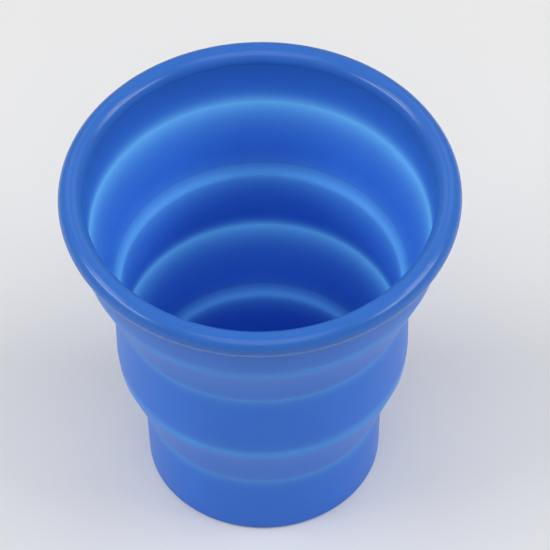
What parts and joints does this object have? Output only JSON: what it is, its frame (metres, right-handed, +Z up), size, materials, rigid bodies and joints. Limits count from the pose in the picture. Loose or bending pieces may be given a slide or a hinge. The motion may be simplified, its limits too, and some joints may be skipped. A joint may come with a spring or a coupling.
{
  "type": "collapsible travel cup",
  "caption": "Open drinking cup of soft silicone, tapering down in stiff rings joined by thin folding webs, with a round rim bead and a flat base.",
  "frame": {"origin": "centre of the underside of the base, cup standing open", "axes": "+Z up along the cup's axis, from the base to the mouth; +X and +Y are free, because the cup is round"},
  "size_m": [0.08, 0.08, 0.0787],
  "materials": {
    "silicone_bead": "satin",
    "silicone_ring": "satin",
    "silicone_web": "satin",
    "silicone_hinge": "satin"
  },
  "bodies": {
    "base": {"base_ring": "silicone_ring", "base_floor": "silicone_ring", "lower_inner_hinge": "silicone_hinge", "lower_fold_web": "silicone_web"},
    "middle": {"middle_ring": "silicone_ring", "lower_outer_hinge": "silicone_hinge", "upper_inner_hinge": "silicone_hinge", "upper_fold_web": "silicone_web"},
    "upper": {"rim_bead": "silicone_bead", "upper_ring": "silicone_ring", "upper_outer_hinge": "silicone_hinge"}
  },
  "joints": [
    {"name": "lower_fold", "type": "slide", "parent": "base", "child": "middle", "axis": [0, 0, -1], "range_m": [0, 0.0296], "deforming": ["lower_fold_web", "lower_outer_hinge", "lower_inner_hinge"]},
    {"name": "upper_fold", "type": "slide", "parent": "middle", "child": "upper", "axis": [0, 0, -1], "range_m": [0, 0.0308], "deforming": ["upper_fold_web", "upper_outer_hinge", "upper_inner_hinge"]}
  ]
}
